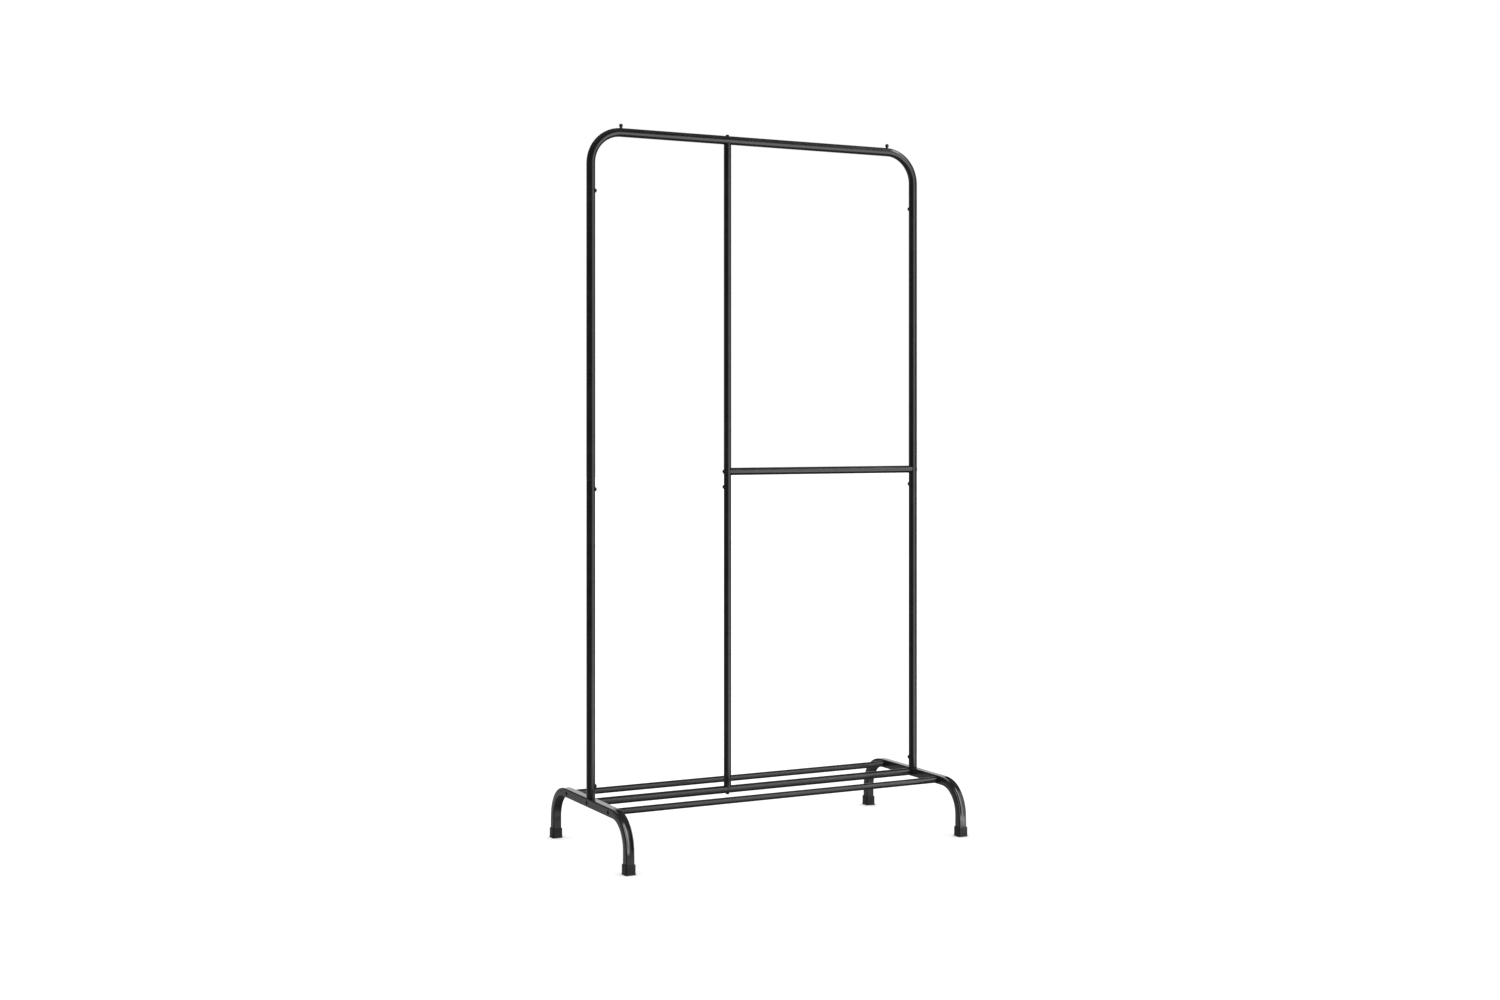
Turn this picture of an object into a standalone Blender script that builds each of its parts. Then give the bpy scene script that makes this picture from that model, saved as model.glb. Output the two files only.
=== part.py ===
"""Free-standing double-rod garment rail of black powder-coated steel tube.

Frame: +Z up, +X along the hanging rail, +Y towards the back.  The origin is
on the floor, midway between the side posts and midway between front and back
feet.  Units are metres.
"""

import math

import bmesh
import bpy
from mathutils import Matrix, Vector

MM = 0.001
GAP = 0.3 * MM                 # clearance between pieces that touch

# ---------------------------------------------------------------- dimensions
# side posts and top hoop: 22 x 1 mm round tube
POST_X = 464.0 * MM            # side posts stand at -POST_X and +POST_X
POST_R = 11.0 * MM
POST_BORE_R = 10.0 * MM
NECK_R = 9.7 * MM              # reduced ends of the upper posts, and the spigots
NECK_BORE_R = 8.7 * MM
NECK_LEN = 45.0 * MM
RAIL_Z = 1775.6 * MM           # axis of the top rail
HOOP_BEND_R = 80.0 * MM        # bend radius of the hoop, on the tube axis
SEAM_TOP_Z = 1606.5 * MM       # hoop meets upper post
SEAM_MID_Z = 918.0 * MM        # upper post meets lower post

# centre post, middle rail and middle shelf bar: 19 x 1 mm round tube
CENTRE_X = -89.3 * MM
MID_R = 9.5 * MM
MID_BORE_R = 8.5 * MM
CENTRE_NECK_R = 8.2 * MM
CENTRE_NECK_BORE_R = 7.2 * MM
CENTRE_NECK_LEN = 40.0 * MM
MID_RAIL_Z = 935.0 * MM

# shelf: front and rear bars are 16 x 1 mm round tube
SHELF_Z = 128.7 * MM
SHELF_PITCH = 132.6 * MM       # centre bar to front and rear bar
BAR_R = 8.0 * MM
BAR_BORE_R = 7.0 * MM

# end legs: 22 x 22 x 1.2 mm square tube, bent at both ends
LEG_W = 22.0 * MM
LEG_CORNER_R = 3.0 * MM
LEG_WALL = 1.2 * MM
LEG_BEND_R = 75.0 * MM
FOOT_Y = 230.5 * MM            # leg axis at the feet

# foot caps
CAP_W = 26.2 * MM
CAP_LIP_W = 28.2 * MM
CAP_H = 24.0 * MM
CAP_FLOOR = 4.0 * MM

# fasteners
HOLE_R = 3.3 * MM              # clearance holes and tapped bores for M6
SHANK_R = 3.0 * MM
HEAD_R = 5.1 * MM
HEAD_H = 4.0 * MM
SMALL_HEAD_R = 4.85 * MM
SMALL_HEAD_H = 3.2 * MM
POST_SCREW_Z = (168.0 * MM, 896.0 * MM, 1628.5 * MM)
ACCESS_HOLE_R = 5.0 * MM       # holes in the legs' outer faces
SUNK_HEAD_R = 4.6 * MM
SUNK_HEAD_H = 4.0 * MM
PLUG_LEN = 15.0 * MM

# hanger stops
PEG_X = 383.5 * MM
PEG_BALL_R = 4.9 * MM
PEG_NECK_R = 3.0 * MM
PEG_CENTRE_H = 6.0 * MM        # ball centre above the rail's crown

TUBE_SIDES = 20
BEND_STEPS = 8

LEG_TOP_Z = SHELF_Z + LEG_W / 2
RAIL_TOP_Z = RAIL_Z + POST_R

# ---------------------------------------------------------------- clean start
for old in list(bpy.data.objects):
    bpy.data.objects.remove(old, do_unlink=True)


# ------------------------------------------------------------------ materials
def make_material(name, colour, roughness, metallic):
    mat = bpy.data.materials.new(name)
    mat.use_nodes = True
    shader = mat.node_tree.nodes["Principled BSDF"]
    shader.inputs["Base Color"].default_value = (*colour, 1.0)
    shader.inputs["Roughness"].default_value = roughness
    shader.inputs["Metallic"].default_value = metallic
    mat.diffuse_color = (*colour, 1.0)
    return mat


COAT = (0.018, 0.018, 0.020)


def paint():
    """One semi-gloss black powder coat per painted tube."""
    return make_material("powder_coat", COAT, 0.34, 0.0)


def black_screw():
    return make_material("black_screw_steel", (0.020, 0.020, 0.022), 0.38, 0.85)


def zinc():
    return make_material("zinc_plated_steel", (0.56, 0.57, 0.58), 0.32, 1.0)


def cap_plastic():
    return make_material("cap_plastic", (0.026, 0.026, 0.028), 0.55, 0.0)


def peg_plastic():
    return make_material("peg_plastic", (0.015, 0.015, 0.016), 0.30, 0.0)


# -------------------------------------------------------------------- helpers
def finish(name, bm, material, location=(0, 0, 0), rotation=(0, 0, 0), angle=35.0):
    """Turn a bmesh into a named, smooth-shaded object placed in the scene."""
    bmesh.ops.remove_doubles(bm, verts=bm.verts[:], dist=1e-6)
    bmesh.ops.recalc_face_normals(bm, faces=bm.faces[:])
    mesh = bpy.data.meshes.new(name)
    bm.to_mesh(mesh)
    bm.free()
    mesh.shade_smooth()
    mesh.set_sharp_from_angle(angle=math.radians(angle))
    mesh.materials.append(material)
    obj = bpy.data.objects.new(name, mesh)
    obj.location = location
    obj.rotation_euler = rotation
    bpy.context.scene.collection.objects.link(obj)
    return obj


def revolve(bm, profile, sides, closed):
    """Spin a profile of (radius, height) points about Z."""
    verts = [bm.verts.new((r, 0.0, z)) for r, z in profile]
    edges = [bm.edges.new((a, b)) for a, b in zip(verts, verts[1:])]
    if closed:
        edges.append(bm.edges.new((verts[-1], verts[0])))
    bmesh.ops.spin(bm, geom=verts + edges, cent=(0, 0, 0), axis=(0, 0, 1),
                   angle=math.tau, steps=sides, use_merge=True)
    bmesh.ops.remove_doubles(bm, verts=bm.verts[:], dist=1e-6)


def straight_tube(outer, inner, low, high, sides=TUBE_SIDES, extra_low=(), extra_high=()):
    """A hollow tube on Z.  extra_* hold (radius, bore, end) of necked ends."""
    bm = bmesh.new()
    shoulder = 1.2 * MM
    swage = 5.0 * MM
    outline = []
    bore = []
    if extra_low:
        r, b, end = extra_low
        outline += [(r, end), (r, low), (outer - 0.35 * MM, low), (outer, low + shoulder)]
        bore += [(b, end), (b, low + shoulder), (inner, low + shoulder + swage)]
    else:
        outline += [(outer, low)]
        bore += [(inner, low)]
    if extra_high:
        r, b, end = extra_high
        outline += [(outer, high - shoulder), (outer - 0.35 * MM, high), (r, high), (r, end)]
        bore += [(inner, high - shoulder - swage), (b, high - shoulder), (b, end)]
    else:
        outline += [(outer, high)]
        bore += [(inner, high)]
    revolve(bm, outline + bore[::-1], sides, closed=True)
    return bm


def cutter_cylinder(name, radius, start, end, sides=12, radius_end=None):
    """A closed cylinder or cone between two points, kept as a hidden cutter."""
    start, end = Vector(start), Vector(end)
    axis = end - start
    bm = bmesh.new()
    bmesh.ops.create_cone(bm, cap_ends=True, segments=sides, radius1=radius,
                          radius2=radius if radius_end is None else radius_end,
                          depth=axis.length)
    turn = axis.to_track_quat('Z', 'Y').to_matrix().to_4x4()
    bmesh.ops.transform(bm, matrix=Matrix.Translation((start + end) / 2) @ turn, verts=bm.verts[:])
    mesh = bpy.data.meshes.new(name)
    bm.to_mesh(mesh)
    bm.free()
    obj = bpy.data.objects.new(name, mesh)
    obj.hide_render = True
    obj.display_type = 'WIRE'
    bpy.context.scene.collection.objects.link(obj)
    return obj


def cut(obj, cutter):
    mod = obj.modifiers.new(cutter.name, 'BOOLEAN')
    mod.operation = 'DIFFERENCE'
    mod.solver = 'EXACT'
    mod.object = cutter
    return obj


def rounded_square(side, radius, z, steps=2):
    """Corner-rounded square outline in a plane at height z."""
    half = side / 2 - radius
    points = []
    for quarter, (cx, cy) in enumerate(((half, half), (-half, half), (-half, -half), (half, -half))):
        for i in range(steps + 1):
            a = math.radians(90 * quarter + 90 * i / steps)
            points.append(Vector((cx + radius * math.cos(a), cy + radius * math.sin(a), z)))
    return points


def loop(bm, points):
    """Vertices of one closed outline."""
    return [bm.verts.new(p) for p in points]


def region(faces):
    """Faces with the edges around them, so that a sweep leaves no inner walls."""
    return list(faces) + list({e for f in faces for e in f.edges})


def pull(bm, faces, vector):
    """Extrude faces along a vector and return the moved end faces."""
    out = bmesh.ops.extrude_face_region(bm, geom=region(faces))["geom"]
    bmesh.ops.translate(bm, vec=Vector(vector), verts=[v for v in out if isinstance(v, bmesh.types.BMVert)])
    return [f for f in out if isinstance(f, bmesh.types.BMFace)]


def bend(bm, faces, centre, axis, degrees, steps=BEND_STEPS):
    """Sweep faces round a bend and return the end faces."""
    out = bmesh.ops.spin(bm, geom=region(faces), cent=centre, axis=axis, angle=math.radians(degrees),
                         steps=steps, use_duplicate=False)["geom_last"]
    return [f for f in out if isinstance(f, bmesh.types.BMFace)]


def bridge(bm, first, second):
    """Quads between two loops of vertices that run side by side."""
    count = len(first)
    return [bm.faces.new((first[i], first[(i + 1) % count], second[(i + 1) % count], second[i]))
            for i in range(count)]


def ring_faces(bm, outer, inner):
    """The flat band between two outlines with the same number of points."""
    return bridge(bm, loop(bm, outer), loop(bm, inner))


def circle(radius, z, sides=TUBE_SIDES):
    return [Vector((radius * math.cos(math.tau * i / sides), radius * math.sin(math.tau * i / sides), z))
            for i in range(sides)]


# ------------------------------------------------------------------ top hoop
bm = bmesh.new()
faces = ring_faces(bm, circle(POST_R, 0), circle(POST_BORE_R, 0))
bmesh.ops.translate(bm, vec=(-POST_X, 0, SEAM_TOP_Z + GAP / 2), verts=bm.verts[:])
leg_len = RAIL_Z - HOOP_BEND_R - (SEAM_TOP_Z + GAP / 2)
faces = pull(bm, faces, (0, 0, leg_len))
faces = bend(bm, faces, (-POST_X + HOOP_BEND_R, 0, RAIL_Z - HOOP_BEND_R), (0, 1, 0), 90)
faces = pull(bm, faces, (2 * (POST_X - HOOP_BEND_R), 0, 0))
faces = bend(bm, faces, (POST_X - HOOP_BEND_R, 0, RAIL_Z - HOOP_BEND_R), (0, 1, 0), 90)
pull(bm, faces, (0, 0, -leg_len))
top_hoop = finish("top_hoop", bm, paint())
for side, x in (("left", -POST_X), ("right", POST_X)):
    inward = 1 if x < 0 else -1
    cut(top_hoop, cutter_cylinder(f"cut_hoop_{side}_screw", HOLE_R,
                                  (x + inward * 5 * MM, 0, POST_SCREW_Z[2]),
                                  (x + inward * 16 * MM, 0, POST_SCREW_Z[2])))
    cut(top_hoop, cutter_cylinder(f"cut_hoop_{side}_peg", PEG_NECK_R + GAP,
                                  (math.copysign(PEG_X, x), 0, RAIL_Z + 4 * MM),
                                  (math.copysign(PEG_X, x), 0, RAIL_TOP_Z + 4 * MM)))
cut(top_hoop, cutter_cylinder("cut_hoop_centre_screw", HOLE_R,
                              (CENTRE_X, 0, RAIL_Z - 20 * MM), (CENTRE_X, 0, RAIL_Z + 20 * MM)))

# ---------------------------------------------------------------- side posts
for side, x in (("left", -POST_X), ("right", POST_X)):
    inward = 1 if x < 0 else -1
    upper = finish(f"upper_post_{side}", straight_tube(
        POST_R, POST_BORE_R, SEAM_MID_Z + GAP / 2, SEAM_TOP_Z - GAP / 2,
        extra_low=(NECK_R, NECK_BORE_R, SEAM_MID_Z - NECK_LEN),
        extra_high=(NECK_R, NECK_BORE_R, SEAM_TOP_Z + NECK_LEN)), paint(), location=(x, 0, 0))
    for tag, z in (("low", POST_SCREW_Z[1]), ("high", POST_SCREW_Z[2])):
        cut(upper, cutter_cylinder(f"cut_upper_post_{side}_{tag}", HOLE_R,
                                   (x + inward * 4 * MM, 0, z), (x + inward * 14 * MM, 0, z)))
    if side == "right":
        # clearance on the rail side, and the seat of the flat head outside
        cut(upper, cutter_cylinder("cut_upper_post_right_rail", HOLE_R,
                                   (x - 15 * MM, 0, MID_RAIL_Z), (x - 4 * MM, 0, MID_RAIL_Z)))
        cut(upper, cutter_cylinder("cut_upper_post_right_seat", HEAD_R + GAP,
                                   (x + 4 * MM, 0, MID_RAIL_Z), (x + 15 * MM, 0, MID_RAIL_Z), sides=16))
    lower = finish(f"lower_post_{side}", straight_tube(
        POST_R, POST_BORE_R, LEG_TOP_Z + GAP, SEAM_MID_Z - GAP / 2), paint(), location=(x, 0, 0))
    for tag, z in (("low", POST_SCREW_Z[0]), ("high", POST_SCREW_Z[1])):
        cut(lower, cutter_cylinder(f"cut_lower_post_{side}_{tag}", HOLE_R,
                                   (x + inward * 4 * MM, 0, z), (x + inward * 16 * MM, 0, z)))
    spigot = finish(f"post_spigot_{side}", straight_tube(
        NECK_R, NECK_BORE_R, LEG_TOP_Z + GAP, LEG_TOP_Z + GAP + 48 * MM), paint(), location=(x, 0, 0))
    cut(spigot, cutter_cylinder(f"cut_spigot_{side}", HOLE_R,
                                (x + inward * 4 * MM, 0, POST_SCREW_Z[0]),
                                (x + inward * 14 * MM, 0, POST_SCREW_Z[0])))

# --------------------------------------------------------------- centre post
centre_upper = finish("centre_post_upper", straight_tube(
    MID_R, MID_BORE_R, SEAM_MID_Z + GAP / 2, RAIL_Z - 6.0 * MM,
    extra_low=(CENTRE_NECK_R, CENTRE_NECK_BORE_R, SEAM_MID_Z - CENTRE_NECK_LEN)),
    paint(), location=(CENTRE_X, 0, 0))
# saddle under the top rail
cut(centre_upper, cutter_cylinder("cut_centre_upper_saddle", POST_R + GAP,
                                  (CENTRE_X - 20 * MM, 0, RAIL_Z), (CENTRE_X + 20 * MM, 0, RAIL_Z), sides=32))
# bolt of the middle rail runs through both walls
cut(centre_upper, cutter_cylinder("cut_centre_upper_rail", HOLE_R,
                                  (CENTRE_X - 15 * MM, 0, MID_RAIL_Z), (CENTRE_X + 15 * MM, 0, MID_RAIL_Z)))
cut(centre_upper, cutter_cylinder("cut_centre_upper_joint", HOLE_R,
                                  (CENTRE_X - 14 * MM, 0, POST_SCREW_Z[1]), (CENTRE_X - 4 * MM, 0, POST_SCREW_Z[1])))

centre_lower = finish("centre_post_lower", straight_tube(
    MID_R, MID_BORE_R, SHELF_Z + 2.0 * MM, SEAM_MID_Z - GAP / 2), paint(), location=(CENTRE_X, 0, 0))
cut(centre_lower, cutter_cylinder("cut_centre_lower_saddle", MID_R + GAP,
                                  (CENTRE_X - 20 * MM, 0, SHELF_Z), (CENTRE_X + 20 * MM, 0, SHELF_Z), sides=32))
cut(centre_lower, cutter_cylinder("cut_centre_lower_joint", HOLE_R,
                                  (CENTRE_X - 14 * MM, 0, POST_SCREW_Z[1]), (CENTRE_X - 4 * MM, 0, POST_SCREW_Z[1])))

# --------------------------------------------------------------- middle rail
rail_start = CENTRE_X + 1.6 * MM
rail_end = POST_X - 5.4 * MM
mid_rail = finish("mid_rail", straight_tube(MID_R, MID_BORE_R, 0, rail_end - rail_start), paint(),
                  location=(rail_start, 0, MID_RAIL_Z), rotation=(0, math.radians(90), 0))
cut(mid_rail, cutter_cylinder("cut_mid_rail_centre_end", MID_R + GAP,
                              (CENTRE_X, 0, MID_RAIL_Z - 20 * MM), (CENTRE_X, 0, MID_RAIL_Z + 20 * MM), sides=32))
cut(mid_rail, cutter_cylinder("cut_mid_rail_post_end", POST_R + GAP,
                              (POST_X, 0, MID_RAIL_Z - 20 * MM), (POST_X, 0, MID_RAIL_Z + 20 * MM), sides=32))

# ---------------------------------------------------------------- shelf bars
bar_end = POST_X - LEG_W / 2 - GAP
for tag, y, r, bore in (("front", -SHELF_PITCH, BAR_R, BAR_BORE_R),
                        ("middle", 0.0, MID_R, MID_BORE_R),
                        ("rear", SHELF_PITCH, BAR_R, BAR_BORE_R)):
    bar = finish(f"shelf_bar_{tag}", straight_tube(r, bore, 0, 2 * bar_end), paint(),
                 location=(-bar_end, y, SHELF_Z), rotation=(0, math.radians(90), 0))
    if tag == "middle":
        cut(bar, cutter_cylinder("cut_middle_bar_screw", HOLE_R,
                                 (CENTRE_X, 0, SHELF_Z - 20 * MM), (CENTRE_X, 0, SHELF_Z + 20 * MM)))

# ------------------------------------------------------------------ end legs
for side, x in (("left", -POST_X), ("right", POST_X)):
    outward = -1 if x < 0 else 1
    bm = bmesh.new()
    faces = ring_faces(bm, rounded_square(LEG_W, LEG_CORNER_R, 0),
                       rounded_square(LEG_W - 2 * LEG_WALL, LEG_CORNER_R - LEG_WALL, 0))
    bottom = CAP_FLOOR + GAP
    bmesh.ops.translate(bm, vec=(x, -FOOT_Y, bottom), verts=bm.verts[:])
    rise = SHELF_Z - LEG_BEND_R - bottom
    faces = pull(bm, faces, (0, 0, rise))
    faces = bend(bm, faces, (x, -FOOT_Y + LEG_BEND_R, SHELF_Z - LEG_BEND_R), (1, 0, 0), -90)
    faces = pull(bm, faces, (0, 2 * (FOOT_Y - LEG_BEND_R), 0))
    faces = bend(bm, faces, (x, FOOT_Y - LEG_BEND_R, SHELF_Z - LEG_BEND_R), (1, 0, 0), -90)
    pull(bm, faces, (0, 0, -rise))
    leg = finish(f"end_leg_{side}", bm, paint())
    for tag, y in (("front", -SHELF_PITCH), ("middle", 0.0), ("rear", SHELF_PITCH)):
        # wide hole outside to reach the screw, clearance hole on the bar side
        cut(leg, cutter_cylinder(f"cut_leg_{side}_{tag}_access", ACCESS_HOLE_R,
                                 (x + outward * 5 * MM, y, SHELF_Z), (x + outward * 15 * MM, y, SHELF_Z), sides=16))
        cut(leg, cutter_cylinder(f"cut_leg_{side}_{tag}_shank", HOLE_R,
                                 (x - outward * 5 * MM, y, SHELF_Z), (x - outward * 15 * MM, y, SHELF_Z)))

# ----------------------------------------------------------------- foot caps
pocket = LEG_W + 2 * GAP
cap_sections = (                # side length, corner radius, height: up the outside, down the pocket
    (CAP_LIP_W - 1.0 * MM, 3.7 * MM, 0.0),
    (CAP_LIP_W, 4.2 * MM, 0.6 * MM),
    (CAP_LIP_W, 4.2 * MM, 1.6 * MM),
    (CAP_W, 3.5 * MM, 2.6 * MM),
    (CAP_W, 3.5 * MM, CAP_H - 1.0 * MM),
    (CAP_W - 1.2 * MM, 3.2 * MM, CAP_H),
    (pocket, LEG_CORNER_R + GAP, CAP_H),
    (pocket, LEG_CORNER_R + GAP, CAP_FLOOR),
)
bm = bmesh.new()
loops = [loop(bm, rounded_square(s, r, z)) for s, r, z in cap_sections]
bm.faces.new(loops[0])
for low, high in zip(loops, loops[1:]):
    bridge(bm, low, high)
bm.faces.new(loops[-1])
first_cap = finish("foot_cap_left_front", bm, cap_plastic(), location=(-POST_X, -FOOT_Y, 0), angle=30)
for name, x, y in (("foot_cap_left_rear", -POST_X, FOOT_Y),
                   ("foot_cap_right_front", POST_X, -FOOT_Y),
                   ("foot_cap_right_rear", POST_X, FOOT_Y)):
    cap = bpy.data.objects.new(name, first_cap.data.copy())
    cap.data.materials[0] = cap_plastic()
    cap.location = (x, y, 0)
    bpy.context.scene.collection.objects.link(cap)


# ----------------------------------------------------------------- fasteners
def place_along(obj, seat, direction):
    """Put a fastener made on Z (head above zero) with its head facing direction."""
    obj.location = seat
    obj.rotation_euler = Vector(direction).to_track_quat('Z', 'Y').to_euler()
    return obj


def hex_outline(across_flats, z):
    r = across_flats / 2 / math.cos(math.pi / 6)
    return [Vector((r * math.cos(math.tau * i / 6), r * math.sin(math.tau * i / 6), z)) for i in range(6)]


def screw(name, seat, direction, head_r, head_h, shank_r, length, style="round", socket=4.0 * MM):
    """Hex-socket screw: head from zero up, shank from zero down."""
    bm = bmesh.new()
    if style == "round":
        crown = [(head_r * math.cos(math.radians(a)), head_h * (0.12 + 0.88 * math.sin(math.radians(a))))
                 for a in (0, 30, 58)]
        top = crown[-1][1]
        head = [(head_r, 0.0)] + crown
    elif style == "cylinder":
        top = head_h
        head = [(head_r, 0.0), (head_r, head_h - 0.5 * MM), (head_r - 0.5 * MM, head_h)]
    else:                       # flat head: a cone that widens outwards
        top = head_h
        head = [(head_r, head_h - 0.4 * MM), (head_r, head_h)]
    depth = min(2.0 * MM, 0.6 * head_h)
    shank = [(0.0, -length), (shank_r - 0.6 * MM, -length), (shank_r, -length + 0.8 * MM), (shank_r, 0.0)]
    revolve(bm, shank + head + [(0.0, top)], 12, closed=False)
    obj = finish(name, bm, black_screw(), angle=40)
    place_along(obj, seat, direction)
    # hexagonal driving recess
    bm = bmesh.new()
    face = bm.faces.new(loop(bm, hex_outline(socket, top - depth)))
    pull(bm, [face], (0, 0, depth + 2 * MM))
    bmesh.ops.recalc_face_normals(bm, faces=bm.faces[:])
    mesh = bpy.data.meshes.new(f"cut_{name}")
    bm.to_mesh(mesh)
    bm.free()
    recess = bpy.data.objects.new(f"cut_{name}", mesh)
    recess.hide_render = True
    recess.display_type = 'WIRE'
    bpy.context.scene.collection.objects.link(recess)
    place_along(recess, seat, direction)
    cut(obj, recess)
    return obj


def nut(name, centre, direction, across_flats, height, bore):
    """Hexagon nut, made by bridging a hexagon to a round bore and extruding."""
    bm = bmesh.new()
    outer = []
    corners = hex_outline(across_flats, -height / 2)
    for a, b in zip(corners, corners[1:] + corners[:1]):
        outer += [a, (a + b) / 2]
    inner = circle(bore, -height / 2, sides=12)
    faces = ring_faces(bm, outer, inner)
    pull(bm, faces, (0, 0, height))
    obj = finish(name, bm, zinc(), angle=30)
    return place_along(obj, centre, direction)


def plug(name, face_centre, direction, outer, bore=HOLE_R, length=PLUG_LEN):
    """Threaded plug whose open face looks along direction."""
    bm = bmesh.new()
    revolve(bm, [(bore, -length), (outer, -length), (outer, -0.8 * MM), (outer - 0.5 * MM, 0.0),
                 (bore, 0.0)], 14, closed=True)
    obj = finish(name, bm, zinc(), angle=30)
    return place_along(obj, face_centre, direction)


for side, x in (("left", -POST_X), ("right", POST_X)):
    inward = 1 if x < 0 else -1
    for level, z in zip(("bottom", "middle", "top"), POST_SCREW_Z):
        screw(f"post_screw_{side}_{level}", (x + inward * (POST_R + GAP), 0, z), (inward, 0, 0),
              HEAD_R, HEAD_H, SHANK_R, 12 * MM)
        nut(f"post_nut_{side}_{level}", (x + inward * 3.5 * MM, 0, z), (inward, 0, 0),
            10 * MM, 5 * MM, HOLE_R)
    for tag, y, r in (("front", -SHELF_PITCH, BAR_BORE_R), ("middle", 0.0, MID_BORE_R),
                      ("rear", SHELF_PITCH, BAR_BORE_R)):
        outward = -inward
        inner_wall = POST_X - LEG_W / 2 + LEG_WALL      # inside face of the wall on the bar side
        screw(f"shelf_screw_{side}_{tag}", (outward * (inner_wall + GAP), y, SHELF_Z), (outward, 0, 0),
              SUNK_HEAD_R, SUNK_HEAD_H, SHANK_R, 20 * MM, style="cylinder", socket=4.5 * MM)
        plug(f"shelf_bar_insert_{side}_{tag}", (outward * (bar_end - 0.3 * MM), y, SHELF_Z), (outward, 0, 0),
             r - GAP)

# centre post: joint screw and nut, and the screws at its two ends
screw("centre_post_joint_screw", (CENTRE_X - MID_R - GAP, 0, POST_SCREW_Z[1]), (-1, 0, 0),
      SMALL_HEAD_R, 3.8 * MM, 2.5 * MM, 12 * MM)
nut("centre_post_nut", (CENTRE_X - 3.1 * MM, 0, POST_SCREW_Z[1]), (-1, 0, 0), 8 * MM, 4 * MM, 2.8 * MM)
screw("centre_post_top_screw", (CENTRE_X, 0, RAIL_TOP_Z + GAP), (0, 0, 1),
      SMALL_HEAD_R, SMALL_HEAD_H, SHANK_R, 35 * MM)
plug("centre_post_insert_top", (CENTRE_X, 0, RAIL_Z - POST_R - 2 * GAP), (0, 0, 1), MID_BORE_R - GAP)
screw("centre_post_bottom_screw", (CENTRE_X, 0, SHELF_Z - MID_R - GAP), (0, 0, -1),
      SMALL_HEAD_R, SMALL_HEAD_H, SHANK_R, 35 * MM)
plug("centre_post_insert_bottom", (CENTRE_X, 0, SHELF_Z + MID_R + 2 * GAP), (0, 0, -1), MID_BORE_R - GAP)

# middle rail: round head on the centre post, flat head in the right post
screw("mid_rail_screw_centre", (CENTRE_X - MID_R - GAP, 0, MID_RAIL_Z), (-1, 0, 0),
      SMALL_HEAD_R, 3.8 * MM, SHANK_R, 35 * MM)
plug("mid_rail_insert_left", (CENTRE_X + MID_R + 2 * GAP, 0, MID_RAIL_Z), (-1, 0, 0), MID_BORE_R - GAP)
screw("mid_rail_screw_right", (POST_X + POST_R - 3.0 * MM, 0, MID_RAIL_Z), (1, 0, 0),
      HEAD_R - 0.1 * MM, 2.8 * MM, SHANK_R, 32 * MM, style="flat")
plug("mid_rail_insert_right", (POST_X - POST_R - 2 * GAP, 0, MID_RAIL_Z), (1, 0, 0), MID_BORE_R - GAP)

# -------------------------------------------------------------- hanger stops
for side, x in (("left", -PEG_X), ("right", PEG_X)):
    bm = bmesh.new()
    profile = [(0.0, -6.0 * MM), (PEG_NECK_R - 0.5 * MM, -6.0 * MM), (PEG_NECK_R - 0.1 * MM, -5.2 * MM),
               (PEG_NECK_R - 0.1 * MM, GAP + 0.1 * MM), (3.8 * MM, GAP + 0.1 * MM), (3.8 * MM, 0.9 * MM),
               (PEG_NECK_R, 1.4 * MM)]
    start = math.asin(PEG_NECK_R / PEG_BALL_R)
    for i in range(7):
        a = start + (math.pi - start) * i / 6
        profile.append((max(0.0, PEG_BALL_R * math.sin(a)), PEG_CENTRE_H - PEG_BALL_R * math.cos(a)))
    revolve(bm, profile, 14, closed=False)
    finish(f"hanger_stop_peg_{side}", bm, peg_plastic(), location=(x, 0, RAIL_TOP_Z), angle=40)
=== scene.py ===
"""Garment rail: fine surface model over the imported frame, with studio light and camera."""
import math

import bmesh
import bpy
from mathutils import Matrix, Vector


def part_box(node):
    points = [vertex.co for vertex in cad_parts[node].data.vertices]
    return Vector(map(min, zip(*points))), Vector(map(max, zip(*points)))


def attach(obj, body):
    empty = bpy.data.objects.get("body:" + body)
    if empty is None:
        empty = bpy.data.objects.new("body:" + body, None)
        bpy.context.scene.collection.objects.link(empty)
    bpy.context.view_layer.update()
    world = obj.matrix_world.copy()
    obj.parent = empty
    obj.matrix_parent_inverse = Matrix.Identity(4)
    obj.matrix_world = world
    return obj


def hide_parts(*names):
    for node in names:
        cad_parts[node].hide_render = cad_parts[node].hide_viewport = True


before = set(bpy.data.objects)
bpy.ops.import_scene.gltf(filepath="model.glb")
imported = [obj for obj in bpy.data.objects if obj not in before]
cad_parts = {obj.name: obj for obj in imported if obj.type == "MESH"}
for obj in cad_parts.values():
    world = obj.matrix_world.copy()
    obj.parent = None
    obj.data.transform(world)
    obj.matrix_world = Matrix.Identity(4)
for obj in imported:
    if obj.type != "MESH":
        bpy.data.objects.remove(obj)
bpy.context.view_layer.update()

MM = 0.001
TAU = math.tau

# ----------------------------------------------------------- driving sizes
POST_X = 0.464
POST_R = 0.011
RAIL_Z = 1.7756
BEND_R = 0.080
SEAM_TOP_Z = 1.6065
SEAM_MID_Z = 0.918
CENTRE_X = -0.0893
MID_R = 0.0095
MID_RAIL_Z = 0.935
SHELF_Z = 0.1287
PITCH = 0.1326
BAR_R = 0.008
LEG_W = 0.022
LEG_BEND_R = 0.075
FOOT_Y = 0.2305
GAP = 0.0003
LEG_TOP_Z = SHELF_Z + LEG_W / 2
BAR_END = POST_X - LEG_W / 2 - GAP
SCREW_Z = {"bottom": 0.168, "middle": 0.896, "top": 1.6285}

X, Y, Z = Vector((1, 0, 0)), Vector((0, 1, 0)), Vector((0, 0, 1))


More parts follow.
